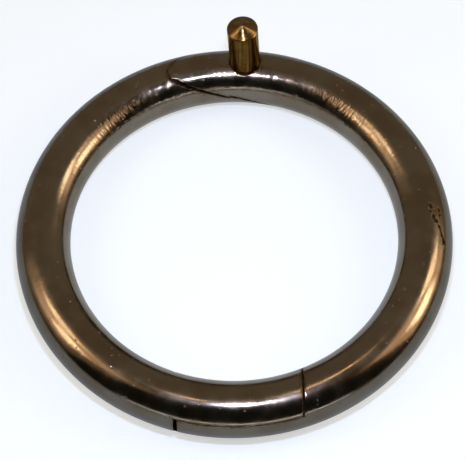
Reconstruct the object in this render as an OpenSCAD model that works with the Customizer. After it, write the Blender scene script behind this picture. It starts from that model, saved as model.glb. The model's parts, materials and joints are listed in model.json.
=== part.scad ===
// Hinged bull nose ring with a stepped scarf joint and a snap-off closing screw.
// The ring lies flat: its centre is at x = y = 0, its underside touches z = 0, the hinge is at
// the front (-Y) and the joint that closes it is at the back (+Y). All sizes are millimetres.

/* [Ring] */
// Outside diameter of the closed ring
ring_od = 76.2; // [70:0.1:90]
// Diameter of the round stock that the ring is made of
stock_d = 9.5; // [8.8:0.1:11]

/* [Scarf joint] */
// Place of the small hook step, along X from the ring's centre line
step_x = -0.3; // [-0.5:0.05:0]
// Height of the hook step
step_h = 0.43; // [0.2:0.01:0.8]
// Length of the ramp from the step up to the crown
ramp_up = 11.3; // [9:0.1:14]
// Length of the ramp from the step down to the underside
ramp_down = 13.9; // [12:0.1:16]
// What the gap between the laps leaves over the hook step, so that the ring can swing
lap_clear = 0.07; // [0.05:0.01:0.3]
// Gap between the laps at the crown, where the tip of the upper lap lies nearly flush
tip_gap = 0.08; // [0.05:0.01:0.5]

/* [Hinge] */
// Reach of the fork's ears, from the pivot to their ends
ear_reach = 10.6; // [9:0.1:12]
// Reach of the tongue, from the pivot to its end
tongue_reach = 10.1; // [9:0.1:12]
// Thickness of the tongue
tongue_t = 4.6; // [4:0.1:5.5]
// Gap between the tongue and each ear of the fork
ear_gap = 0.08; // [0.05:0.01:0.2]
// Diameter of the rivet
rivet_d = 4; // [3:0.1:5]
// What is left at the ends of the fork and the tongue where they pass closest in a swing
swing_clear = 0.075; // [0.05:0.005:0.3]
// Running clearance of the rivet in the tongue, on the radius
rivet_run = 0.05; // [0.02:0.01:0.1]
// Clearance of the peened rivet in the ears, on the radius
rivet_fit = 0.01; // [0.005:0.005:0.02]

/* [Screw] */
// Place of the screw along X
screw_x = 2.6; // [2.4:0.1:4]
// How far the screw stands outside the middle of the stock
screw_out = 0.3; // [0:0.1:0.6]
// Lean of the screw and its holes towards -X, in degrees
screw_lean = 2.3; // [0:0.1:4]
// Diameter of the screw's grip
grip_d = 5.5; // [5:0.1:6]
// Length of the grip, from the break groove to the rim of its pointed end
grip_h = 9.65; // [6:0.05:14]
// Height of the grip's pointed end
point_h = 1.1; // [0.5:0.1:2.5]
// How far the grip starts above the crown of the ring
grip_lift = 0.1; // [0:0.05:0.5]
// Width of the break groove at its mouth
groove_w = 0.7; // [0.4:0.05:0.8]
// Width of the break groove at its floor
groove_floor = 0.2; // [0.1:0.05:0.3]
// Diameter that is left at the break groove
neck_d = 2.8; // [2:0.1:3.4]
// Length of the collar below the break groove
collar_h = 0.6; // [0.4:0.05:0.8]
// Outside diameter of the threaded shank
shank_d = 4; // [3:0.1:4.4]
// Chamfer at the tip of the shank
tip_bevel = 0.5; // [0.2:0.05:0.8]
// How far the tip stops above the lower lap, so that the ring can swing
tip_clear = 0.2; // [0.15:0.05:0.4]
// How far the screw still goes down until its collar seats
drive = 2.3; // [1.5:0.05:2.4]
// Clearance of the collar and the shank in the upper lap, on the radius
bore_clear = 0.08; // [0.03:0.01:0.1]
// Clearance of the shank in the threaded hole of the lower lap, on the radius
thread_clear = 0.05; // [0.02:0.01:0.1]

/* [Hidden] */
// Colours of the plated stock and of the brass
plate_color = [0.47, 0.43, 0.37];
brass_color = [0.62, 0.46, 0.2];

// Radius of the stock, and of the circle that its middle follows
stock_r = stock_d / 2;
ring_r = (ring_od - stock_d) / 2;
// Reach of the cutting blocks past the ring
over = 5;
far = ring_od / 2 + over;

// Lower face of the scarf joint, on both sides of the step, and the gap above it
lap_gap = step_h + lap_clear;
step_low = stock_r - step_h / 2;
step_high = stock_r + step_h / 2;
scarf_top_x = step_x - ramp_up;
scarf_end_x = step_x + ramp_down;
slope_down = step_high / ramp_down;

// Half width of the stock at the level where the ears begin, their widest
ear_half_w = sqrt(stock_r ^ 2 - (tongue_t / 2) ^ 2);
ear_wall_x = ear_reach + swing_gap(ear_reach, ear_half_w);
tongue_wall_x = tongue_reach + swing_gap(tongue_reach, stock_r);

// Screw: lengths along its axis, measured from the crown
grip_r = grip_d / 2;
shank_r = shank_d / 2;
screw_y = sqrt(ring_r ^ 2 - screw_x ^ 2) + screw_out;
groove_top = grip_lift;
groove_base = groove_top - groove_w;
collar_base = groove_base - collar_h;
tip_r = shank_r - tip_bevel;
tip_level = lap_level(screw_x - tip_r) + tip_clear - stock_d;
seat_level = collar_base - drive;

$fn = 96;

// Height of the lower lap's face at a place right of the step
function lap_level(x) = step_high - slope_down * (x - step_x);

// How far the outer corner of a square end lies from the pivot's line across the stock
function corner_offset(reach, half_w) = sqrt((ring_r + half_w) ^ 2 - reach ^ 2) - ring_r;

// Gap that a square end needs so that its outer corner swings past the wall that it faces
function swing_gap(reach, half_w) =
    sqrt(reach ^ 2 + corner_offset(reach, half_w) ^ 2) - reach + swing_clear;

// The whole closed ring, before it is cut into halves
module ring_stock() {
    translate([0, 0, stock_r])
        rotate_extrude()
            translate([ring_r, 0])
                circle(r = stock_r);
}

// Everything under the scarf joint's lower face, at the back of the ring, raised by a gap from
// the step on, and by another gap at the crown
module under_scarf(gap, crown_gap) {
    slope_up = (stock_d + crown_gap - step_low - gap) / ramp_up;
    translate([0, far, 0])
        rotate([90, 0, 0])
            linear_extrude(height = far)
                polygon([
                    [-far, -over],
                    [-far, stock_d + crown_gap + slope_up * (far + scarf_top_x)],
                    [step_x, step_low + gap],
                    [step_x, step_high + gap],
                    [far, step_high + gap - slope_down * (far - step_x)],
                    [far, -far]
                ]);
}

// A block at the front of the ring, from one place to another along X and Z
module front_block(x0, x1, z0, z1) {
    translate([x0, -far, z0])
        cube([x1 - x0, far, z1 - z0]);
}

// The space between the ears, wider than the tongue by a gap on each side
module tongue_space(x0, gap) {
    front_block(x0, far, stock_r - tongue_t / 2 - gap, stock_r + tongue_t / 2 + gap);
}

// A hole or shaft through the hinge
module hinge_cylinder(r) {
    translate([0, -ring_r, -over])
        cylinder(r = r, h = stock_d + 2 * over);
}

// Puts what is drawn around Z on the screw's axis, with the crown at zero
module on_screw_axis() {
    translate([screw_x, screw_y, stock_d])
        rotate([0, -screw_lean, 0])
            children();
}

// Left half: the fork of the hinge, and the lower lap with its threaded hole
module fork_half() {
    color(plate_color)
    difference() {
        intersection() {
            ring_stock();
            union() {
                under_scarf(0, 0);
                front_block(-far, ear_reach, -over, stock_d + over);
            }
        }
        tongue_space(-tongue_wall_x, ear_gap);
        hinge_cylinder(rivet_d / 2 + rivet_fit);
        on_screw_axis()
            translate([0, 0, -stock_d - over])
                cylinder(r = shank_r + thread_clear, h = stock_d + over);
    }
}

// Right half: the tongue of the hinge, and the upper lap with the screw's stepped bore
module tongue_half() {
    color(plate_color)
    difference() {
        intersection() {
            ring_stock();
            union() {
                difference() {
                    translate([-far, 0, -over])
                        cube([2 * far, far, stock_d + 2 * over]);
                    under_scarf(lap_gap, tip_gap);
                }
                front_block(ear_wall_x, far, -over, stock_d + over);
                tongue_space(-tongue_reach, 0);
            }
        }
        hinge_cylinder(rivet_d / 2 + rivet_run);
        on_screw_axis() {
            translate([0, 0, seat_level])
                cylinder(r = grip_r + bore_clear, h = over - seat_level);
            translate([0, 0, -stock_d])
                cylinder(r = shank_r + bore_clear, h = stock_d);
        }
    }
}

// Rivet of the hinge, peened and dressed down to the round of the stock
module hinge_rivet() {
    color(plate_color)
    intersection() {
        ring_stock();
        hinge_cylinder(rivet_d / 2);
    }
}

// Closing screw: pointed grip, break groove, collar and shank
module snap_screw() {
    half_groove = (groove_w - groove_floor) / 2;
    color(brass_color)
    on_screw_axis()
        rotate_extrude()
            polygon([
                [0, tip_level],
                [tip_r, tip_level],
                [shank_r, tip_level + tip_bevel],
                [shank_r, collar_base],
                [grip_r, collar_base],
                [grip_r, groove_base],
                [neck_d / 2, groove_base + half_groove],
                [neck_d / 2, groove_top - half_groove],
                [grip_r, groove_top],
                [grip_r, groove_top + grip_h],
                [0, groove_top + grip_h + point_h]
            ]);
}

fork_half();
tongue_half();
hinge_rivet();
snap_screw();
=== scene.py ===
"""Hinged nose ring for a bull, with a stepped scarf joint and a brass screw that snaps off."""

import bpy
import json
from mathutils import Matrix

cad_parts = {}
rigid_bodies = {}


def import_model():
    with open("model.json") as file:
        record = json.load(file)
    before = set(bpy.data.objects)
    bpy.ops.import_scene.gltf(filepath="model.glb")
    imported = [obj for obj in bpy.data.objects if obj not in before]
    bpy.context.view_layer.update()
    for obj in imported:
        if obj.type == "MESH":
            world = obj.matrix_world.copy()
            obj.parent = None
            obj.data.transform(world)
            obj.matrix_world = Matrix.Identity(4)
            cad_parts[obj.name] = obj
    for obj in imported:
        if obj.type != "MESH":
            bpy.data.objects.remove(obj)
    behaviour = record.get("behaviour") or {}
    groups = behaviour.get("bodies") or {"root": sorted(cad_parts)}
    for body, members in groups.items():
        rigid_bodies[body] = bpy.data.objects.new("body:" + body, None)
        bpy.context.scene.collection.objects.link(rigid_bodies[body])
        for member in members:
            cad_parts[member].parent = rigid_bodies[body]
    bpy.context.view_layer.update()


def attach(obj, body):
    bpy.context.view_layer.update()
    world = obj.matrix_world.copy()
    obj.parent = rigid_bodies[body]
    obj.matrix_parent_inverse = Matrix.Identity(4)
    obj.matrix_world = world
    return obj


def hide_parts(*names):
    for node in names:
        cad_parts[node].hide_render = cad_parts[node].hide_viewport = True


bl_info = {
    "name": "Bull Nose Ring",
    "version": (1, 0, 0),
    "blender": (4, 5, 0),
    "location": "3D View > Sidebar > Nose Ring",
    "description": "Builds a hinged bull nose ring with its closing screw",
    "category": "Object",
}

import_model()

import json
import math
import random

import bmesh
import bpy
import numpy as np
from bpy.props import FloatProperty, FloatVectorProperty, IntProperty, PointerProperty
from mathutils import Matrix, Vector, noise
from mathutils.kdtree import KDTree

MM = 0.001
MM_PER_M = 1000

# Distances within which points merge: finest, usual and coarsest
MERGE_FINE, MERGE, MERGE_COARSE = 0.001 * MM, 0.002 * MM, 0.004 * MM


# ---------------------------------------------------------------- what a user would change


def length(name, about, default):
    """A length property, given in millimetres."""
    return FloatProperty(
        name=name, description=about, default=default * MM, unit="LENGTH", precision=5
    )


def colour(name, about, default):
    """A colour property."""
    return FloatVectorProperty(
        name=name, description=about, default=default, subtype="COLOR", min=0, max=1
    )


class RingSizes(bpy.types.PropertyGroup):
    """Sizes of the closed ring and of the joint that closes it"""

    ring_od: length("Outside diameter", "Outside diameter of the closed ring", 76.2)
    stock_d: length("Stock", "Diameter of the round stock", 9.5)
    step_x: length("Step place", "Place of the hook step along X", -0.3)
    step_h: length("Step height", "Height of the hook step", 0.43)
    ramp_up: length("Upper ramp", "Length of the ramp from the step up to the crown", 11.3)
    ramp_down: length("Lower ramp", "Length of the ramp from the step down to the underside", 13.9)
    lap_clear: length("Lap clearance", "What the gap between the laps leaves over the step", 0.07)
    tip_gap: length("Tip gap", "Gap between the laps at the crown", 0.08)
    tip_inside: length("Tip inside", "Where the lap's tip starts to lie flush, along Y", 30.1)
    edge_round: length("Edge round", "How far the polishing wheel has rounded the cut edges", 0.07)
    wave_depth: length("Wave depth", "Depth of the long waves that hand polishing leaves", 0.024)
    wave_length: length("Wave length", "Length of those waves", 6.0)
    around: IntProperty(
        name="Steps around", description="Faces around the ring", default=512, min=64
    )
    across: IntProperty(
        name="Steps across", description="Faces around the stock", default=128, min=24
    )


# Stock of each piece: degrees around the ring at which it starts, and degrees that it sweeps
FORK_ARC = (58, 238)
TONGUE_ARC = (-116, 236)
RIVET_ARC = (-98, 16)

# Rust pits: degrees around the ring and around the stock, half length and half width in
# millimetres, slant in degrees, and depth in millimetres
PITS = (
    (3.7, 79.6, 0.62, 0.42, 25, 0.16),
    (1.8, 82.1, 0.34, 0.26, 0, 0.09),
    (0.3, 75.7, 0.50, 0.36, -20, 0.15),
    (2.5, 61.5, 0.48, 0.26, 10, 0.11),
    (0.9, 61.5, 0.36, 0.34, 0, 0.09),
    (-1.1, 71.0, 0.50, 0.36, 40, 0.13),
    (-2.8, 65.0, 0.42, 0.24, 20, 0.10),
    (-5.0, 58.5, 1.70, 0.15, 22, 0.06),
    (-5.4, 58.5, 0.42, 0.22, 20, 0.09),
    (-7.1, 52.0, 0.80, 0.45, 15, 0.16),
)


class HingeSizes(bpy.types.PropertyGroup):
    """Sizes of the hinge"""

    ear_reach: length("Ear reach", "Reach of the fork's ears from the pivot", 10.6)
    tongue_reach: length("Tongue reach", "Reach of the tongue from the pivot", 10.1)
    tongue_t: length("Tongue", "Thickness of the tongue", 4.6)
    ear_gap: length("Ear gap", "Gap between the tongue and each ear", 0.08)
    swing_clear: length("Swing clearance", "What is left where the square ends swing past", 0.075)
    rivet_d: length("Rivet", "Diameter of the rivet", 4.0)
    rivet_run: length("Running clearance", "Clearance of the rivet in the tongue", 0.05)
    rivet_fit: length("Peened clearance", "Clearance of the rivet in the ears", 0.01)


class ScrewSizes(bpy.types.PropertyGroup):
    """Sizes of the closing screw and of its holes"""

    screw_x: length("Place", "Place of the screw along X", 2.6)
    screw_out: length("Offset", "How far it stands outside the middle of the stock", 0.3)
    lean: FloatProperty(
        name="Lean", description="Lean towards -X", default=math.radians(2.3), subtype="ANGLE"
    )
    grip_d: length("Grip", "Diameter of the grip", 5.5)
    grip_h: length("Grip length", "Length from the break groove to the rim of the point", 9.65)
    point_h: length("Point", "Height of the pointed end", 1.1)
    pip_d: length("Pip", "Diameter of the pip that the parting tool left on the point", 0.5)
    grip_lift: length("Lift", "How far the grip starts above the crown", 0.1)
    groove_w: length("Groove mouth", "Width of the break groove at its mouth", 0.7)
    groove_floor: length("Groove floor", "Width of the break groove at its floor", 0.2)
    neck_d: length("Neck", "Diameter left at the break groove", 2.8)
    collar_h: length("Collar", "Length of the collar under the groove", 0.6)
    shank_d: length("Shank", "Outside diameter of the threaded shank", 4.0)
    thread_pitch: length("Pitch", "Pitch of the thread", 0.7)
    thread_depth: length("Thread depth", "Depth of the thread", 0.38)
    tip_bevel: length("Tip chamfer", "Chamfer at the tip of the shank", 0.5)
    tip_clear: length("Tip clearance", "How far the tip stops above the lower lap", 0.2)
    drive: length("Drive", "How far the screw still goes down", 2.3)
    bore_clear: length("Bore clearance", "Clearance in the upper lap", 0.08)
    thread_clear: length("Thread clearance", "Clearance in the lower lap", 0.05)


# Softened rims of the screw, and how far its shank is rooted in the collar
SCREW_SOFT = 0.06 * MM
SHANK_ROOT = 0.3 * MM

# Fine grooves that the lathe left on the point: circles across it, the range of the grooves'
# depth in millimetres, and the depth of the ridges between them
POINT_CIRCLES = 30
GROOVE_DEPTHS = (0.012, 0.030)
RIDGE_DEPTH = 0.004 * MM


class Finishes(bpy.types.PropertyGroup):
    """Colours and polish of the metals"""

    plate: colour("Plate", "Plated steel where it is clean", (0.245, 0.212, 0.165))
    tarnish: colour("Tarnish", "Plated steel where it has tarnished", (0.205, 0.165, 0.118))
    # Grime is real dirt in the pits, and on the cut faces it also paints the shade of the gaps and
    # bores
    grime_and_gap_shade: colour("Grime", "Dirt in the seams and pits", (0.020, 0.014, 0.006))
    # Rust also paints patchy shade and dust along the seams of the plate
    rust_and_seam_shade: colour("Rust", "Rust around the pits", (0.15, 0.080, 0.026))
    brass: colour("Brass", "Brass where the lathe left it bright", (0.26, 0.17, 0.075))
    brass_drawn: colour("Drawn brass", "Brass of the grip", (0.185, 0.095, 0.017))
    brass_dark: colour("Old brass", "Brass in the drawn streaks", (0.060, 0.028, 0.004))
    polish: FloatProperty(name="Polish", description="Roughness of the clean plate", default=0.15)


class StageSettings(bpy.types.PropertyGroup):
    """Camera, lamps and floor"""

    distance: length("Camera distance", "From the camera to the middle of the ring", 314.98)
    elevation: FloatProperty(
        name="Camera elevation", description="Above the floor", default=math.radians(60.54),
        subtype="ANGLE",
    )
    roll: FloatProperty(
        name="Camera roll", description="Turn about the view", default=math.radians(-1.21),
        subtype="ANGLE",
    )
    lens: FloatProperty(name="Lens", description="Focal length in millimetres", default=139.5)
    shift_x: FloatProperty(name="Lens shift X", description="Shift of the view", default=-0.0036)
    shift_y: FloatProperty(name="Lens shift Y", description="Shift of the view", default=0.0092)
    flash: FloatProperty(
        name="Flash", description="Radiance of the small lamp near the camera", default=480
    )
    side: FloatProperty(
        name="Side lamps", description="Radiance that the side lamps have shares of", default=6.0
    )
    room_far: colour("Room, far", "Light of the room beyond the ring", (0.24, 0.19, 0.13))
    room_near: colour(
        "Room, near", "Light of the room on the camera's side", (0.017, 0.017, 0.013)
    )
    floor: colour("Floor", "Colour of the floor", (0.42, 0.52, 0.58))
    floor_size: FloatProperty(
        name="Floor size", description="Width of the floor", default=8.0, unit="LENGTH"
    )


# ---------------------------------------------------------------- lengths that follow from them


class Plan:
    """Places and levels worked out from the sizes."""

    def __init__(self, scene):
        ring, hinge, screw = scene.ring_sizes, scene.hinge_sizes, scene.screw_sizes
        self.stock_d = ring.stock_d
        self.stock_r = ring.stock_d / 2
        self.ring_r = (ring.ring_od - ring.stock_d) / 2
        # Reach of the cutting blocks: over the ring's surface, past its sides, and up or down
        self.over = 5 * MM
        self.far = ring.ring_od / 2 + self.over
        self.top = 4 * self.stock_d
        self.pivot = Matrix.Translation((0, -self.ring_r, 0))

        self.lap_gap = ring.step_h + ring.lap_clear
        self.step_x = ring.step_x
        self.step_low = self.stock_r - ring.step_h / 2
        self.step_high = self.stock_r + ring.step_h / 2
        self.scarf_top_x = ring.step_x - ring.ramp_up
        self.slope_down = self.step_high / ring.ramp_down

        ear_half_w = math.sqrt(self.stock_r**2 - (hinge.tongue_t / 2) ** 2)
        self.ear_wall_x = hinge.ear_reach + self.swing_gap(hinge, hinge.ear_reach, ear_half_w)
        self.tongue_wall_x = hinge.tongue_reach + self.swing_gap(
            hinge, hinge.tongue_reach, self.stock_r
        )

        self.grip_r = screw.grip_d / 2
        self.shank_r = screw.shank_d / 2
        self.groove_top = screw.grip_lift
        self.groove_base = self.groove_top - screw.groove_w
        self.collar_base = self.groove_base - screw.collar_h
        self.tip_r = self.shank_r - screw.tip_bevel
        lap = self.step_high - self.slope_down * (screw.screw_x - self.tip_r - self.step_x)
        self.tip_level = lap + screw.tip_clear - self.stock_d
        self.seat_level = self.collar_base - screw.drive
        screw_y = math.sqrt(self.ring_r**2 - screw.screw_x**2) + screw.screw_out
        crown = Matrix.Translation((screw.screw_x, screw_y, self.stock_d))
        self.screw_axis = crown @ Matrix.Rotation(-screw.lean, 4, "Y")

    def lap_outline(self, ring, gap, crown_gap, level):
        """Outline in the XZ plane from the scarf's line, raised by two gaps, to a level."""
        slope_up = (self.stock_d + crown_gap - self.step_low - gap) / ring.ramp_up
        return [
            (-self.far, self.stock_d + crown_gap + slope_up * (self.far + self.scarf_top_x)),
            (self.step_x, self.step_low + gap),
            (self.step_x, self.step_high + gap),
            (self.far, self.step_high + gap - self.slope_down * (self.far - self.step_x)),
            (self.far, level),
            (-self.far, level),
        ]

    def swing_gap(self, hinge, reach, half_w):
        """Gap that a square end needs so that its outer corner swings past the wall it faces."""
        corner = math.sqrt((self.ring_r + half_w) ** 2 - reach**2) - self.ring_r
        return math.hypot(reach, corner) - reach + hinge.swing_clear

    def around_stock(self, place):
        """Angle around the ring, angle around the stock and the stock's middle, for a point."""
        turn = math.atan2(place.y, place.x)
        middle = Vector((self.ring_r * math.cos(turn), self.ring_r * math.sin(turn), self.stock_r))
        outward = Vector((math.cos(turn), math.sin(turn), 0))
        arm = place - middle
        return turn, math.atan2(arm.z, arm.dot(outward)), middle


# ---------------------------------------------------------------- shapes


def new_piece(name, bm, *finishes):
    """An object made from a bmesh, at the origin, with its finishes."""
    bmesh.ops.recalc_face_normals(bm, faces=bm.faces[:])
    mesh = bpy.data.meshes.new(name)
    bm.to_mesh(mesh)
    bm.free()
    for finish in finishes:
        mesh.materials.append(finish)
    piece = bpy.data.objects.new(name, mesh)
    bpy.context.scene.collection.objects.link(piece)
    return piece


def prism(outline, y0, y1):
    """A solid with an outline in the XZ plane, from one place along Y to another."""
    bm = bmesh.new()
    face = bm.faces.new([bm.verts.new((x, y0, z)) for x, z in outline])
    made = bmesh.ops.extrude_face_region(bm, geom=[face])
    moved = [g for g in made["geom"] if isinstance(g, bmesh.types.BMVert)]
    bmesh.ops.translate(bm, verts=moved, vec=(0, y1 - y0, 0))
    return bm


def block(x0, x1, y0, y1, z0, z1):
    """A rectangular solid between two corners."""
    return prism([(x0, z0), (x1, z0), (x1, z1), (x0, z1)], y0, y1)


def rod(radius, z0, z1, place=Matrix.Identity(4), steps=96):
    """A round rod along the Z axis of a place."""
    bm = bmesh.new()
    middle = place @ Matrix.Translation((0, 0, (z0 + z1) / 2))
    bmesh.ops.create_cone(
        bm, cap_ends=True, segments=steps, radius1=radius, radius2=radius, depth=z1 - z0,
        matrix=middle,
    )
    return bm


def turned(profile, place=Matrix.Identity(4), steps=128):
    """A turned solid: a profile of (radius, level) points spun about the Z axis of a place."""
    bm = bmesh.new()
    line = [bm.verts.new((r, 0, z)) for r, z in profile]
    for a, b in zip(line, line[1:]):
        bm.edges.new((a, b))
    bmesh.ops.spin(
        bm, geom=bm.verts[:] + bm.edges[:], cent=(0, 0, 0), axis=(0, 0, 1), angle=math.tau,
        steps=steps, use_merge=True,
    )
    bmesh.ops.remove_doubles(bm, verts=bm.verts[:], dist=MERGE_FINE)
    bmesh.ops.transform(bm, matrix=place, verts=bm.verts[:])
    return bm


def threaded(crest, depth, pitch, z0, z1, place=Matrix.Identity(4), steps=48):
    """A threaded rod between two levels on the Z axis of a place."""
    # The spin starts two turns too low and ends at least one too high, and its ends are cut level
    below, above = 2, 1
    turns = math.ceil((z1 - z0) / pitch) + below + above
    root = crest - depth
    # One turn of the thread: radius, and share of the pitch
    profile = ((root, 0), (root, 0.12), (crest, 0.45), (crest, 0.60), (root, 0.93), (root, 1))
    bm = bmesh.new()
    line = [bm.verts.new((r, 0, z0 + (part - below) * pitch)) for r, part in profile]
    for a, b in zip(line, line[1:]):
        bm.edges.new((a, b))
    bmesh.ops.spin(
        bm, geom=bm.verts[:] + bm.edges[:], cent=(0, 0, 0), axis=(0, 0, 1), angle=math.tau * turns,
        dvec=(0, 0, pitch / steps), steps=steps * turns,
    )
    bmesh.ops.remove_doubles(bm, verts=bm.verts[:], dist=MERGE)
    for level, away in ((z0, -1), (z1, 1)):
        bmesh.ops.bisect_plane(
            bm, geom=bm.verts[:] + bm.edges[:] + bm.faces[:], plane_co=(0, 0, level),
            plane_no=(0, 0, away), clear_outer=True,
        )
    ends = [e for e in bm.edges if e.is_boundary]
    bmesh.ops.holes_fill(bm, edges=ends)
    bmesh.ops.transform(bm, matrix=place, verts=bm.verts[:])
    return bm


def cut(piece, solids, operation="DIFFERENCE"):
    """Cuts solids out of a piece, or keeps only what lies in them. Each is (bmesh, finish)."""
    bench = bpy.data.collections.new("cutters")
    bpy.context.scene.collection.children.link(bench)
    for bm, finish in solids:
        tool = new_piece("cutter", bm, finish)
        bpy.context.scene.collection.objects.unlink(tool)
        bench.objects.link(tool)
    step = piece.modifiers.new("cut", "BOOLEAN")
    step.operation = operation
    step.solver = "EXACT"
    step.operand_type = "COLLECTION"
    step.collection = bench
    step.material_mode = "TRANSFER"
    graph = bpy.context.evaluated_depsgraph_get()
    mesh = bpy.data.meshes.new_from_object(piece.evaluated_get(graph), depsgraph=graph)
    mesh.name = piece.name
    piece.modifiers.clear()
    spent = [piece.data]
    piece.data = mesh
    for tool in list(bench.objects):
        spent.append(tool.data)
        bpy.data.objects.remove(tool)
    bpy.data.collections.remove(bench)
    for old in spent:
        bpy.data.meshes.remove(old)


def rims(bm):
    """Edges between the stock's surface, which has the first finish, and the cut faces."""
    return [
        e for e in bm.edges
        if len(e.link_faces) == 2 and min(f.material_index for f in e.link_faces) == 0
        and max(f.material_index for f in e.link_faces) > 0
    ]


def ease_edges(piece, width, spare):
    """Rounds the rims of the cut faces, as a polishing wheel does, apart from the spared ones."""
    # What a rounded edge needs beside it, so that nothing folds over
    room = 1.7 * width
    bm = bmesh.new()
    bm.from_mesh(piece.data)
    bmesh.ops.remove_doubles(bm, verts=bm.verts[:], dist=MERGE_COARSE)
    short = [e for e in rims(bm) if e.calc_length() < width and not spare(e)]
    bmesh.ops.collapse(bm, edges=short, uvs=False)
    eased = [e for e in rims(bm) if not spare(e)]
    rim = {v for e in eased for v in e.verts}
    marked = set(eased)
    for v in rim:
        along = [e for e in v.link_edges if e in marked]
        ways = [(e.other_vert(v).co - v.co).normalized() for e in along]
        for spoke in v.link_edges:
            free = spoke.other_vert(v)
            if free in rim:
                continue
            for way in ways:
                arm = free.co - v.co
                off = arm - way * arm.dot(way)
                if arm.dot(way) >= 0 and 0 < off.length < room:
                    free.co += off.normalized() * (room - off.length)
    bmesh.ops.bevel(
        bm, geom=eased, offset=width, offset_type="OFFSET", segments=2, profile=0.5,
        affect="EDGES", clamp_overlap=False, material=-1, loop_slide=True,
    )
    bmesh.ops.remove_doubles(bm, verts=bm.verts[:], dist=MERGE)
    bmesh.ops.dissolve_degenerate(bm, dist=MERGE_FINE, edges=bm.edges[:])
    bmesh.ops.recalc_face_normals(bm, faces=bm.faces[:])
    bm.to_mesh(piece.data)
    bm.free()


def bent_stock(plan, sizes, start, sweep, pits=()):
    """Round stock bent around part of the ring, with waves from hand polishing and rust pits."""
    # A coarse sweep is divided into finer faces, and once more around the pits
    finer = 4
    coarse = 1
    turn = Matrix.Rotation(math.radians(start), 4, "Z")
    outward = Matrix.Translation((plan.ring_r, 0, plan.stock_r))
    upright = Matrix.Rotation(math.pi / 2, 4, "X")
    bm = bmesh.new()
    bmesh.ops.create_circle(
        bm, cap_ends=True, segments=sizes.across // finer, radius=plan.stock_r,
        matrix=turn @ outward @ upright,
    )
    bmesh.ops.spin(
        bm, geom=bm.verts[:] + bm.edges[:] + bm.faces[:], cent=(0, 0, 0), axis=(0, 0, 1),
        angle=math.radians(sweep), steps=round(sizes.around * sweep / 360 / finer),
    )
    bmesh.ops.subdivide_edges(bm, edges=bm.edges[:], cuts=finer // coarse - 1, use_grid_fill=True)
    pits = [Pit(plan, *row) for row in pits]
    if pits:
        near = [v for v in bm.verts if any((v.co - pit.place).length < Pit.REACH for pit in pits)]
        close = {f for v in near for f in v.link_faces}
        bmesh.ops.subdivide_edges(
            bm, edges=list({e for f in close for e in f.edges}), cuts=finer * coarse - 1,
            use_grid_fill=True,
        )
    for v in bm.verts:
        middle = plan.around_stock(v.co)[2]
        out = (v.co - middle).normalized()
        skin = middle + out * plan.stock_r
        wave = 0.5 + 0.5 * noise.noise(skin / sizes.wave_length)
        deep = max([pit.depth_at(skin) for pit in pits], default=0)
        v.co = skin - out * (wave * sizes.wave_depth + deep)
    return bm


class Pit:
    """A rust pit: an uneven oval hollow in the stock's surface."""

    # Reach of a pit from its middle, and of the stain around it
    REACH, STAIN_REACH = 1.9 * MM, 2.5 * MM
    # How much wider the stain is than the pit
    STAIN = 1.5
    # Size and share of the unevenness of its outline
    RAGGED_SIZE, RAGGED = 0.35 * MM, 0.5
    # Share of the given depth that is cut, and how steep the walls are
    CUT, STEEP = 0.7, 1.4

    def __init__(self, plan, turn, lean, half_length, half_width, slant=0, deep=0.16):
        turn, lean = math.radians(turn), math.radians(lean)
        outward = Vector((math.cos(turn), math.sin(turn), 0))
        self.normal = outward * math.cos(lean) + Vector((0, 0, math.sin(lean)))
        middle = outward * plan.ring_r + Vector((0, 0, plan.stock_r))
        self.place = middle + self.normal * plan.stock_r
        ahead = Vector((-math.sin(turn), math.cos(turn), 0))
        self.ahead = Matrix.Rotation(math.radians(slant), 3, self.normal) @ ahead
        self.across = self.normal.cross(self.ahead)
        self.half_length = half_length * MM
        self.half_width = half_width * MM
        self.deep = deep * MM

    def share_at(self, place, wider=1.0):
        """1 in the middle of the pit, 0 outside it, or outside a stain that is wider than it."""
        arm = place - self.place
        if arm.length > self.STAIN_REACH:
            return 0.0
        ragged = 1 + self.RAGGED * noise.noise(place / self.RAGGED_SIZE)
        ahead = arm.dot(self.ahead) / self.half_length
        across = arm.dot(self.across) / self.half_width
        return max(0.0, 1 - (math.hypot(ahead, across) * ragged / wider) ** 2)

    def depth_at(self, place):
        """How deep the pit is at a place on the surface."""
        return self.CUT * self.deep * min(1, self.STEEP * self.share_at(place))


def smooth_with_edges(piece, angle=40):
    """Smooth shading that keeps sharp edges crisp and flat faces flat."""
    piece.data.shade_smooth()
    piece.data.set_sharp_from_angle(angle=math.radians(angle))
    level = piece.modifiers.new("flat_faces", "WEIGHTED_NORMAL")
    level.keep_sharp = True
    level.weight = 90


def unroll(piece, plan):
    """A map of the surface: along the ring and around the stock, in metres."""
    mesh = piece.data
    places = np.empty(len(mesh.vertices) * 3)
    mesh.vertices.foreach_get("co", places)
    x, y, z = places.reshape(-1, 3).T
    turn = np.arctan2(y, x)
    lean = np.arctan2(z - plan.stock_r, np.hypot(x, y) - plan.ring_r)
    corner = np.empty(len(mesh.loops), dtype=np.int32)
    mesh.loops.foreach_get("vertex_index", corner)
    first = np.empty(len(mesh.polygons), dtype=np.int32)
    mesh.polygons.foreach_get("loop_start", first)
    count = np.empty(len(mesh.polygons), dtype=np.int32)
    mesh.polygons.foreach_get("loop_total", count)
    lead = np.repeat(first, count)
    spread = np.empty((len(corner), 2))
    for axis, (angle, radius) in enumerate(((turn, plan.ring_r), (lean, plan.stock_r))):
        at = angle[corner]
        at = at + math.tau * np.round((at[lead] - at) / math.tau)
        spread[:, axis] = at * radius
    layer = mesh.uv_layers.new(name="unrolled")
    layer.data.foreach_set("uv", spread.ravel())


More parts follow.
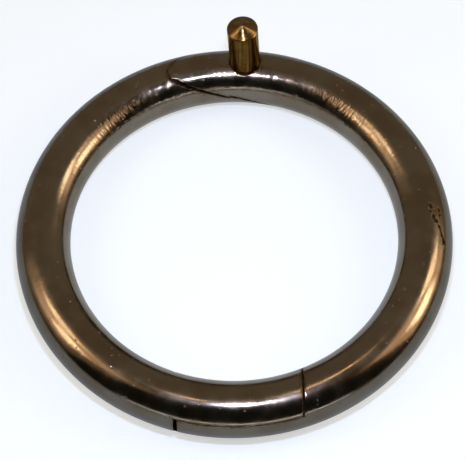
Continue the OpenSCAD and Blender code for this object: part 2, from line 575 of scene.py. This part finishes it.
def mark_dirt_and_seam_shade(piece, plan, spare, pits=()):
    """Keeps two shares at each point for the finishes: how deep in a pit, and how near a cut edge,
    where painted shade and dust darken the seams.
    """
    seam_reach = 0.9 * MM
    mesh = piece.data
    pits = [Pit(plan, *row) for row in pits]
    bm = bmesh.new()
    bm.from_mesh(mesh)
    points = []
    for e in rims(bm):
        if spare(e):
            continue
        a, b = (v.co.copy() for v in e.verts)
        points += [a.lerp(b, share) for share in (0, 0.25, 0.5, 0.75)]
    bm.free()
    tree = KDTree(max(len(points), 1))
    for i, point in enumerate(points):
        tree.insert(point, i)
    tree.balance()
    pitted = [
        max([pit.share_at(v.co, Pit.STAIN) for pit in pits], default=0) for v in mesh.vertices
    ]
    seam = [max(0, 1 - tree.find(v.co)[2] / seam_reach) if points else 0 for v in mesh.vertices]
    for name, shares in (("pitted", pitted), ("seam", seam)):
        mesh.attributes.new(name, "FLOAT", "POINT").data.foreach_set("value", shares)


def finish_piece(piece, node, body):
    """Lets a piece stand for its CAD node and ride on its body."""
    if not piece.data.polygons:
        raise RuntimeError(f"{piece.name} came out empty")
    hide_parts(node)
    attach(piece, body)


# ---------------------------------------------------------------- finishes


class Nodes:
    """A material's node tree, with a short way to add and link nodes."""

    def __init__(self, name):
        self.material = bpy.data.materials.new(name)
        self.material.use_nodes = True
        self.tree = self.material.node_tree
        self.shader = self.tree.nodes["Principled BSDF"]
        self.place = self.add("ShaderNodeTexCoord").outputs["Object"]

    def add(self, kind, **settings):
        """Adds a node. Settings are its own properties, or values and links for its sockets."""
        node = self.tree.nodes.new(kind)
        for key, value in settings.items():
            if hasattr(node, key) and key not in node.inputs:
                setattr(node, key, value)
            else:
                self.put(node.inputs[key], value)
        return node

    def put(self, socket, value):
        """Sets a socket to a value, or links it to an output."""
        if isinstance(value, bpy.types.NodeSocket):
            self.tree.links.new(value, socket)
        else:
            socket.default_value = value

    def mottle(self, size, detail=2.0, stretch=(1, 1, 1), rough=0.5, place=None):
        """A noise pattern with features of a size in millimetres, stretched along the axes."""
        stretched = self.add("ShaderNodeMapping", Vector=place or self.place, Scale=stretch)
        made = self.add(
            "ShaderNodeTexNoise", Vector=stretched.outputs[0], Scale=MM_PER_M / size,
            Detail=detail, Roughness=rough,
        )
        return made.outputs["Fac"]

    def between(self, value, low, high, to_low=0.0, to_high=1.0):
        """Maps a value from one range to another, smoothly and clamped."""
        node = self.add("ShaderNodeMapRange", interpolation_type="SMOOTHSTEP", Value=value)
        for socket, number in zip(list(node.inputs)[1:5], (low, high, to_low, to_high)):
            self.put(socket, number)
        return node.outputs[0]

    def blend(self, factor, first, second):
        """Mixes two colours."""
        node = self.add("ShaderNodeMix", data_type="RGBA")
        self.put(node.inputs[0], factor)
        for socket, value in ((node.inputs[6], first), (node.inputs[7], second)):
            self.put(socket, value if isinstance(value, bpy.types.NodeSocket) else (*value, 1))
        return node.outputs[2]

    def maths(self, what, *values):
        """A maths node's result."""
        node = self.add("ShaderNodeMath", operation=what)
        for socket, value in zip(node.inputs, values):
            self.put(socket, value)
        return node.outputs[0]

    def relief(self, height, depth, below=None):
        """A bump of a depth in millimetres, on top of another."""
        node = self.add("ShaderNodeBump", Height=height, Distance=depth * MM)
        if below is not None:
            self.put(node.inputs["Normal"], below)
        return node.outputs[0]


def plated_metal(finishes):
    """Polished plate over the round stock: waved, scratched along the ring, stained and pitted,
    with painted shade and dust darkening it along the seams.
    """
    n = Nodes("plated_metal")
    along = n.add("ShaderNodeUVMap", uv_map="unrolled").outputs[0]
    pitted = n.add("ShaderNodeAttribute", attribute_name="pitted").outputs["Fac"]
    seam = n.add("ShaderNodeAttribute", attribute_name="seam").outputs["Fac"]
    axes = n.add("ShaderNodeSeparateXYZ", Vector=n.place).outputs
    worked = n.between(axes["Y"], 5 * MM, 30 * MM)

    clouds = n.mottle(7.0, detail=3.0)
    clean = n.blend(n.between(clouds, 0.38, 0.66), finishes.plate, finishes.tarnish)
    crust = n.mottle(0.22, detail=4.0)
    # Painted shade: near the cut edges the plate goes patchily darker and browner, for dust in the
    # joints and the shade of the seams' gaps
    near_seam = n.between(seam, 0.3, 1.0)
    dust_and_seam_shade = n.maths("MULTIPLY", near_seam, n.between(n.mottle(0.9, detail=3.0), 0.40, 0.60))
    stained_and_seam_shaded = n.blend(n.maths("MULTIPLY", dust_and_seam_shade, 0.8), clean, finishes.rust_and_seam_shade)
    edge = n.maths("ADD", pitted, n.between(crust, 0.3, 0.7, -0.18, 0.18))
    rusty = n.blend(n.between(edge, 0.10, 0.45), stained_and_seam_shaded, finishes.rust_and_seam_shade)
    deep = n.between(edge, 0.45, 0.75)
    n.put(n.shader.inputs["Base Color"], n.blend(deep, rusty, finishes.grime_and_gap_shade))
    n.put(n.shader.inputs["Metallic"], n.between(edge, 0.2, 0.6, 1.0, 0.1))
    n.shader.inputs["Specular IOR Level"].default_value = 0.08

    smears = n.mottle(2.5, detail=4.0)
    polish = n.between(smears, 0.3, 0.7, finishes.polish - 0.03, finishes.polish + 0.06)
    n.put(n.shader.inputs["Roughness"], n.maths("ADD", polish, n.between(edge, 0.1, 0.6, 0.0, 0.6)))

    chatter = n.mottle(0.8, detail=3.0, stretch=(1, 0.35, 1), place=along, rough=0.6)
    height = n.maths("MULTIPLY", chatter, n.between(worked, 0.0, 1.0, 0.10, 1.0))
    ripple = n.relief(height, 0.11)
    scratches = n.mottle(0.30, detail=3.0, stretch=(0.06, 1, 1), place=along)
    lines = n.relief(scratches, 0.002, ripple)
    nick_spacing = 1.2
    cells = n.add("ShaderNodeTexVoronoi", Vector=n.place, Scale=MM_PER_M / nick_spacing)
    chance = n.add("ShaderNodeSeparateColor", Color=cells.outputs["Color"]).outputs[0]
    dot = n.between(cells.outputs["Distance"], 0.04, 0.17, 1.0, 0.0)
    rare = n.between(n.maths("ADD", chance, n.maths("MULTIPLY", worked, 0.15)), 0.60, 0.85)
    nicks = n.relief(n.maths("MULTIPLY", dot, rare), -0.08, lines)
    rough_rust = n.relief(n.maths("MULTIPLY", crust, n.between(pitted, 0.3, 0.7)), 0.12, nicks)
    n.put(n.shader.inputs["Normal"], rough_rust)
    return n.material


# Faces that the saw left: the range of the noise over which each goes from clean to dark, the dark
# being grime and painted shade of the narrow gaps these faces lie in
DIRT_AND_SHADE = {"sawn_metal": (0.10, 0.70), "grimy_shaded_metal": (0.20, 0.50)}


def cut_metal(finishes, name):
    """The faces that the saw left: dull plate, more or less darkened with grime and painted shade
    of the gaps and bores they lie in.
    """
    n = Nodes(name)
    strokes = n.mottle(0.12, detail=3.0, stretch=(0.15, 1, 1))
    # Painted shade: these faces go dark as if grimy, standing for the shade inside the narrow gaps
    # and bores
    grime_and_shade = n.between(n.mottle(1.1, detail=6.0), *DIRT_AND_SHADE[name])
    n.put(n.shader.inputs["Base Color"], n.blend(grime_and_shade, finishes.tarnish, finishes.grime_and_gap_shade))
    n.shader.inputs["Metallic"].default_value = 1.0
    n.put(n.shader.inputs["Roughness"], n.between(strokes, 0.3, 0.7, 0.30, 0.46))
    n.put(n.shader.inputs["Normal"], n.relief(strokes, 0.004))
    return n.material


def drawn_brass(finishes):
    """Drawn brass of the grip, with dark streaks along it."""
    n = Nodes("drawn_brass")
    streaks = n.mottle(0.45, detail=4.0, stretch=(1, 1, 0.025))
    blots = n.mottle(1.4, detail=3.0)
    tone = n.maths("ADD", n.maths("MULTIPLY", streaks, 0.75), n.maths("MULTIPLY", blots, 0.25))
    mixed = n.blend(n.between(tone, 0.38, 0.60), finishes.brass_drawn, finishes.brass_dark)
    n.put(n.shader.inputs["Base Color"], mixed)
    n.shader.inputs["Metallic"].default_value = 1.0
    n.shader.inputs["Specular Tint"].default_value = (1.0, 0.86, 0.66, 1.0)
    n.put(n.shader.inputs["Roughness"], n.between(streaks, 0.3, 0.7, 0.18, 0.30))
    n.put(n.shader.inputs["Normal"], n.relief(streaks, 0.008))
    return n.material


def turned_brass(finishes):
    """Brass as the lathe left it: bright, with a little brown on it."""
    n = Nodes("turned_brass")
    stain = n.between(n.mottle(1.1, detail=3.0), 0.42, 0.78)
    n.put(n.shader.inputs["Base Color"], n.blend(stain, finishes.brass, finishes.brass_drawn))
    n.shader.inputs["Metallic"].default_value = 1.0
    n.put(n.shader.inputs["Roughness"], n.between(n.mottle(0.5), 0.3, 0.7, 0.15, 0.22))
    return n.material


# ---------------------------------------------------------------- pieces


class PieceOperator:
    """What the operators share."""

    bl_options = {"REGISTER", "UNDO"}

    def sizes(self, context):
        """The plan and the property groups, for one call."""
        scene = context.scene
        groups = scene.ring_sizes, scene.hinge_sizes, scene.screw_sizes, scene.ring_finishes
        return Plan(scene), *groups

    def dress(self, piece, plan, ring, hinge, node, body, slot, pits=(), tapped=()):
        """Eases the cut edges, taps holes, marks the pits and the seams' painted shade, and hands
        the piece over.
        """
        rivet_reach = hinge.rivet_d / 2 + 0.1 * MM

        def at_rivet(edge):
            """The rims of the rivet's hole stay sharp."""
            middle = (edge.verts[0].co + edge.verts[1].co) / 2
            return math.hypot(middle.x, middle.y + plan.ring_r) < rivet_reach

        ease_edges(piece, ring.edge_round, at_rivet)
        if tapped:
            cut(piece, tapped)
        unroll(piece, plan)
        mark_dirt_and_seam_shade(piece, plan, at_rivet, pits)
        smooth_with_edges(piece)
        finish_piece(piece, node, body)


class RING_OT_fork_half(PieceOperator, bpy.types.Operator):
    """Left half: the fork of the hinge, and the lower lap with its threaded hole"""

    bl_idname = "ring.fork_half"
    bl_label = "Fork half"

    def execute(self, context):
        plan, ring, hinge, screw, finishes = self.sizes(context)
        # Lap faces take grime with painted shade of the gap between the laps; hinge slots and bores
        # take more of it
        plate, raw = plated_metal(finishes), cut_metal(finishes, "sawn_metal")
        grimy_shaded = cut_metal(finishes, "grimy_shaded_metal")
        half = new_piece("fork_half_polished", bent_stock(plan, ring, *FORK_ARC), plate)
        far, over, top = plan.far, plan.over, plan.top
        above_lap = plan.lap_outline(ring, 0, 0, top)
        opening = hinge.tongue_t / 2 + hinge.ear_gap
        low, high = plan.stock_r - opening, plan.stock_r + opening
        cut(half, [
            (prism(above_lap, 0, far), raw),
            (block(hinge.ear_reach, far, -far, over, -over, top), grimy_shaded),
            (block(-plan.tongue_wall_x, far / 2, -far, 0, low, high), grimy_shaded),
            (rod(hinge.rivet_d / 2 + hinge.rivet_fit, -over, top, plan.pivot), grimy_shaded),
        ])
        crest = plan.shank_r + screw.thread_clear + screw.thread_depth
        thread = threaded(
            crest, screw.thread_depth, screw.thread_pitch, -plan.stock_d - MM,
            plan.tip_level + MM, plan.screw_axis,
        )
        self.dress(
            half, plan, ring, hinge, "fork_half", "fork_side", "plated_metal",
            tapped=[(thread, grimy_shaded)],
        )
        return {"FINISHED"}


class RING_OT_tongue_half(PieceOperator, bpy.types.Operator):
    """Right half: the tongue of the hinge, and the upper lap with the screw's stepped bore"""

    bl_idname = "ring.tongue_half"
    bl_label = "Tongue half"

    def execute(self, context):
        plan, ring, hinge, screw, finishes = self.sizes(context)
        # Lap faces take grime with painted shade of the gap between the laps; hinge slots and bores
        # take more of it
        plate, raw = plated_metal(finishes), cut_metal(finishes, "sawn_metal")
        grimy_shaded = cut_metal(finishes, "grimy_shaded_metal")
        half = new_piece("tongue_half_polished", bent_stock(plan, ring, *TONGUE_ARC, PITS), plate)
        far, over, top, axis = plan.far, plan.over, plan.top, plan.screw_axis
        below_lap = plan.lap_outline(ring, plan.lap_gap, ring.tip_gap, -top)
        open_lap = plan.lap_outline(ring, plan.lap_gap, plan.lap_gap, -top)
        low, high = plan.stock_r - hinge.tongue_t / 2, plan.stock_r + hinge.tongue_t / 2
        cut(half, [
            (prism(below_lap, 0, far), raw),
            (prism(open_lap, 0, ring.tip_inside), raw),
            (block(-far, -hinge.tongue_reach, -far, over, -over, top), grimy_shaded),
            (block(-far / 2, plan.ear_wall_x, -far, 0, high, top), grimy_shaded),
            (block(-far / 2, plan.ear_wall_x, -far, 0, -over, low), grimy_shaded),
            (rod(hinge.rivet_d / 2 + hinge.rivet_run, -over, top, plan.pivot), grimy_shaded),
            (rod(plan.grip_r + screw.bore_clear, plan.seat_level, over, axis), grimy_shaded),
            (rod(plan.shank_r + screw.bore_clear, -plan.stock_d, over, axis), grimy_shaded),
        ])
        self.dress(half, plan, ring, hinge, "tongue_half", "tongue_side", "plated_metal", PITS)
        return {"FINISHED"}


class RING_OT_rivet(PieceOperator, bpy.types.Operator):
    """Rivet of the hinge, dressed down to the round of the stock"""

    bl_idname = "ring.rivet"
    bl_label = "Rivet"

    def execute(self, context):
        plan, ring, hinge, _, finishes = self.sizes(context)
        stock = bent_stock(plan, ring, *RIVET_ARC)
        rivet = new_piece("hinge_rivet_dressed", stock, plated_metal(finishes))
        raw = cut_metal(finishes, "sawn_metal")
        shank = rod(hinge.rivet_d / 2, -plan.over, 2 * plan.stock_d, plan.pivot)
        cut(rivet, [(shank, raw)], "INTERSECT")
        unroll(rivet, plan)
        mark_dirt_and_seam_shade(rivet, plan, lambda edge: True)
        smooth_with_edges(rivet)
        finish_piece(rivet, "hinge_rivet", "fork_side")
        return {"FINISHED"}


class RING_OT_screw(PieceOperator, bpy.types.Operator):
    """Closing screw: pointed grip, break groove, collar and threaded shank"""

    bl_idname = "ring.screw"
    bl_label = "Screw"

    def execute(self, context):
        plan, _, _, screw, finishes = self.sizes(context)
        metal, drawn = turned_brass(finishes), drawn_brass(finishes)
        piece = new_piece("snap_screw_turned", self.head(plan, screw), metal, drawn)
        cut(piece, [(self.shank(plan, screw, metal), metal)], "UNION")
        smooth_with_edges(piece, angle=9)
        finish_piece(piece, "snap_screw", "screw")
        return {"FINISHED"}

    def head(self, plan, screw):
        """The turned collar, break groove and grip. The grip's side has the second finish."""
        grip_r, soft = plan.grip_r, SCREW_SOFT
        flank = (screw.groove_w - screw.groove_floor) / 2
        rim = plan.groove_top + screw.grip_h
        pip_level = rim + screw.point_h
        bm = turned([
            (0, plan.collar_base),
            (grip_r - soft, plan.collar_base),
            (grip_r, plan.collar_base + soft),
            (grip_r, plan.groove_base - soft),
            (grip_r - soft, plan.groove_base),
            (screw.neck_d / 2, plan.groove_base + flank),
            (screw.neck_d / 2, plan.groove_top - flank),
            (grip_r - soft, plan.groove_top),
            (grip_r, plan.groove_top + soft),
            (grip_r, rim - soft),
            *self.point(plan, screw, rim),
            (screw.pip_d / 2 * 0.75, pip_level - 0.03 * MM),
            (0, pip_level - 0.01 * MM),
        ])
        for face in bm.faces:
            middle = face.calc_center_median()
            on_side = math.hypot(middle.x, middle.y) > grip_r - soft / 2
            face.material_index = int(on_side and plan.groove_top < middle.z < rim)
        bmesh.ops.transform(bm, matrix=plan.screw_axis, verts=bm.verts[:])
        return bm

    def point(self, plan, screw, rim):
        """Profile of the pointed end, from its rim to the pip, with the lathe's fine grooves."""
        slope = screw.point_h / plan.grip_r
        cutting = random.Random(4)
        lead = SCREW_SOFT * 1.5
        inward = screw.pip_d / 2 - plan.grip_r + lead
        profile = []
        for i in range(POINT_CIRCLES + 1):
            radius = plan.grip_r - lead + inward * i / POINT_CIRCLES
            depth = cutting.uniform(*GROOVE_DEPTHS) * MM if i % 2 else RIDGE_DEPTH
            profile.append((radius, rim + (plan.grip_r - radius) * slope - depth))
        return profile

    def shank(self, plan, screw, metal):
        """The threaded shank, with its chamfered tip, as a bmesh."""
        inside = plan.collar_base + SHANK_ROOT
        thread = threaded(
            plan.shank_r, screw.thread_depth, screw.thread_pitch, plan.tip_level, inside,
            plan.screw_axis,
        )
        shank = new_piece("shank", thread, metal)
        wide = 1.1 * plan.shank_r
        taper = [
            (0, plan.tip_level - MM),
            (plan.tip_r - MM, plan.tip_level - MM),
            (wide, plan.tip_level + screw.tip_bevel + wide - plan.shank_r),
            (wide, MM),
            (0, MM),
        ]
        cut(shank, [(turned(taper, plan.screw_axis), metal)], "INTERSECT")
        bm = bmesh.new()
        bm.from_mesh(shank.data)
        spent = shank.data
        bpy.data.objects.remove(shank)
        bpy.data.meshes.remove(spent)
        return bm


# ---------------------------------------------------------------- stage


def area_lamp(name, radiance, tint, place, aim, width, height):
    """A soft lamp of an even radiance that faces a point and that the camera doesn't see."""
    lamp = bpy.data.lights.new(name, "AREA")
    lamp.energy = radiance * math.pi * width * height
    lamp.color = tint
    lamp.shape = "RECTANGLE"
    lamp.size = width
    lamp.size_y = height
    holder = bpy.data.objects.new(name, lamp)
    holder.location = place
    holder.rotation_euler = (Vector(aim) - Vector(place)).to_track_quat("-Z", "Y").to_euler()
    holder.visible_camera = False
    bpy.context.scene.collection.objects.link(holder)
    return holder


def narrow_beam(holder, spread):
    """Narrows a lamp's beam and keeps its radiance along its axis."""
    half = spread / 2
    holder.data.spread = spread
    holder.data.energy *= (math.tan(half) - half) / math.tan(half)


class RING_OT_stage(PieceOperator, bpy.types.Operator):
    """Floor, room, lamps and camera"""

    bl_idname = "ring.stage"
    bl_label = "Stage"

    def execute(self, context):
        scene, settings = context.scene, context.scene.ring_stage
        plan = Plan(scene)
        scene.view_settings.view_transform = "Standard"
        self.camera(scene, settings, plan)
        self.room(scene, settings)
        self.floor(scene, settings)
        middle = (0, 0, plan.stock_r)
        white, bluish, violet = (0.93, 0.94, 1.0), (0.74, 0.80, 1.0), (0.5, 0.35, 1.0)
        amber, cream = (1.0, 0.64, 0.40), (1.0, 0.82, 0.58)
        side = settings.side
        # Lamps that face the ring's middle, and then two narrow ones that face its front
        for name, radiance, tint, place, width, height in (
            ("flash", settings.flash, bluish, (0.005, -0.057, 0.200), 0.022, 0.007),
            ("flash_halo", 6.0, violet, (0.005, -0.058, 0.203), 0.045, 0.025),
            ("flash_haze", 0.4, violet, (0.012, -0.060, 0.208), 0.10, 0.04),
            ("ceiling", 0.15, white, (0, -0.05, 0.60), 0.27, 0.27),
            ("side_right_high", side * 0.65, cream, (0.248, 0.092, 0.240), 0.060, 0.11),
            ("side_right_low", side * 0.85, cream, (0.248, -0.002, 0.138), 0.070, 0.09),
            ("side_right", side * 0.18, amber, (0.250, 0.005, 0.165), 0.190, 0.21),
            ("side_right_glow", side * 0.05, amber, (0.255, 0.020, 0.170), 0.24, 0.28),
            ("side_left_high", side * 0.55, cream, (-0.248, 0.046, 0.330), 0.065, 0.12),
            ("side_left_low", side * 0.95, cream, (-0.248, -0.034, 0.205), 0.045, 0.10),
            ("side_left", side * 0.17, amber, (-0.250, -0.005, 0.230), 0.14, 0.28),
            ("side_left_glow", side * 0.045, amber, (-0.255, -0.005, 0.230), 0.24, 0.40),
            ("horizon", 3.5, white, (0, -0.60, 0.045), 1.2, 0.03),
        ):
            area_lamp(name, radiance, tint, place, middle, width, height)
        streak_width, streak_beam = 0.0086, math.radians(40)
        for name, radiance, place, aim_x, height in (
            ("streak_left", 7.0, (-0.024, -0.020, 0.150), -0.0074, 0.0115),
            ("streak_right", 6.0, (0.032, 0.006, 0.150), 0.0119, 0.037),
        ):
            aim = (aim_x, -plan.ring_r, plan.stock_r * 2)
            lamp = area_lamp(name, radiance, amber, place, aim, streak_width, height)
            narrow_beam(lamp, streak_beam)
        return {"FINISHED"}

    def camera(self, scene, settings, plan):
        """The camera, by its distance, elevation, roll and shift."""
        lens = bpy.data.cameras.new("camera")
        lens.lens = settings.lens
        lens.sensor_width = 36
        lens.shift_x = settings.shift_x
        lens.shift_y = settings.shift_y
        lens.clip_start = 0.01
        camera = bpy.data.objects.new("camera", lens)
        scene.collection.objects.link(camera)
        tilt = math.pi / 2 - settings.elevation
        aim = Matrix.Translation((0, 0, plan.stock_r)) @ Matrix.Rotation(tilt, 4, "X")
        back = Matrix.Translation((0, 0, settings.distance))
        camera.matrix_world = aim @ back @ Matrix.Rotation(settings.roll, 4, "Z")
        scene.camera = camera

    def room(self, scene, settings):
        """Soft light of the room: lighter beyond the ring than on the camera's side.

        The camera itself sees white.
        """
        world = bpy.data.worlds.new("room")
        scene.world = world
        world.use_nodes = True
        tree = world.node_tree
        direction = tree.nodes.new("ShaderNodeTexCoord").outputs["Generated"]
        axes = tree.nodes.new("ShaderNodeSeparateXYZ")
        tree.links.new(direction, axes.inputs[0])
        share = tree.nodes.new("ShaderNodeMapRange")
        share.interpolation_type = "SMOOTHSTEP"
        share.inputs["From Min"].default_value = -0.40
        share.inputs["From Max"].default_value = 0.25
        tree.links.new(axes.outputs["Y"], share.inputs["Value"])
        mix = tree.nodes.new("ShaderNodeMix")
        mix.data_type = "RGBA"
        mix.inputs[6].default_value = (*settings.room_near, 1)
        mix.inputs[7].default_value = (*settings.room_far, 1)
        tree.links.new(share.outputs[0], mix.inputs[0])
        path = tree.nodes.new("ShaderNodeLightPath").outputs
        white = tree.nodes.new("ShaderNodeMix")
        white.data_type = "RGBA"
        white.inputs[7].default_value = (1, 1, 1, 1)
        tree.links.new(path["Is Camera Ray"], white.inputs[0])
        tree.links.new(mix.outputs[2], white.inputs[6])
        tree.links.new(white.outputs[2], tree.nodes["Background"].inputs["Color"])

    def floor(self, scene, settings):
        """A wide pale floor that stays white and keeps a soft shadow."""
        bm = bmesh.new()
        bmesh.ops.create_grid(bm, x_segments=8, y_segments=8, size=settings.floor_size / 2)
        n = Nodes("pale_floor")
        n.put(n.shader.inputs["Base Color"], (*settings.floor, 1))
        n.shader.inputs["Roughness"].default_value = 1.0
        n.shader.inputs["Specular IOR Level"].default_value = 0.0
        path = n.add("ShaderNodeLightPath").outputs
        seen = n.maths("MAXIMUM", path["Is Glossy Ray"], path["Is Transmission Ray"])
        # The glow follows the distance from the ring's middle: reflections see some of it inside
        # the ring and hardly any outside, and the camera sees the floor rise to white
        away = n.add("ShaderNodeVectorMath", operation="DISTANCE")
        n.put(away.inputs[0], n.place)
        n.put(away.inputs[1], (0, 0.010, 0))
        inside = n.between(away.outputs["Value"], 0.022, 0.044, 0.24, 0.04)
        shown = n.between(away.outputs["Value"], 0.060, 0.300, 0.58, 1.0)
        to_camera = n.maths("MULTIPLY", path["Is Camera Ray"], shown)
        glow = n.maths("ADD", to_camera, n.maths("MULTIPLY", seen, inside))
        n.shader.inputs["Emission Color"].default_value = (1, 1, 1, 1)
        n.put(n.shader.inputs["Emission Strength"], glow)
        floor = new_piece("floor", bm, n.material)


# ---------------------------------------------------------------- panel and registration


class RING_PT_panel(bpy.types.Panel):
    """Lists the sizes, the finishes and the pieces"""

    bl_idname = "RING_PT_panel"
    bl_label = "Nose Ring"
    bl_space_type = "VIEW_3D"
    bl_region_type = "UI"
    bl_category = "Nose Ring"

    def draw(self, context):
        layout = self.layout
        for name, group in GROUPS:
            box = layout.box()
            for key in group.__annotations__:
                box.prop(getattr(context.scene, name), key)
        for operator in OPERATORS:
            layout.operator(operator.bl_idname)


GROUPS = (
    ("ring_sizes", RingSizes),
    ("hinge_sizes", HingeSizes),
    ("screw_sizes", ScrewSizes),
    ("ring_finishes", Finishes),
    ("ring_stage", StageSettings),
)
OPERATORS = (RING_OT_stage, RING_OT_fork_half, RING_OT_tongue_half, RING_OT_rivet, RING_OT_screw)


def register():
    """Registers the groups, the operators and the panel."""
    for name, group in GROUPS:
        bpy.utils.register_class(group)
        setattr(bpy.types.Scene, name, PointerProperty(type=group))
    for kind in (*OPERATORS, RING_PT_panel):
        bpy.utils.register_class(kind)


def unregister():
    """Takes back what register did."""
    for kind in reversed((*OPERATORS, RING_PT_panel)):
        bpy.utils.unregister_class(kind)
    for name, group in reversed(GROUPS):
        delattr(bpy.types.Scene, name)
        bpy.utils.unregister_class(group)


def main():
    """Builds everything."""
    register()
    bpy.ops.ring.stage()
    bpy.ops.ring.fork_half()
    bpy.ops.ring.tongue_half()
    bpy.ops.ring.rivet()
    bpy.ops.ring.screw()


if __name__ == "__main__":
    main()
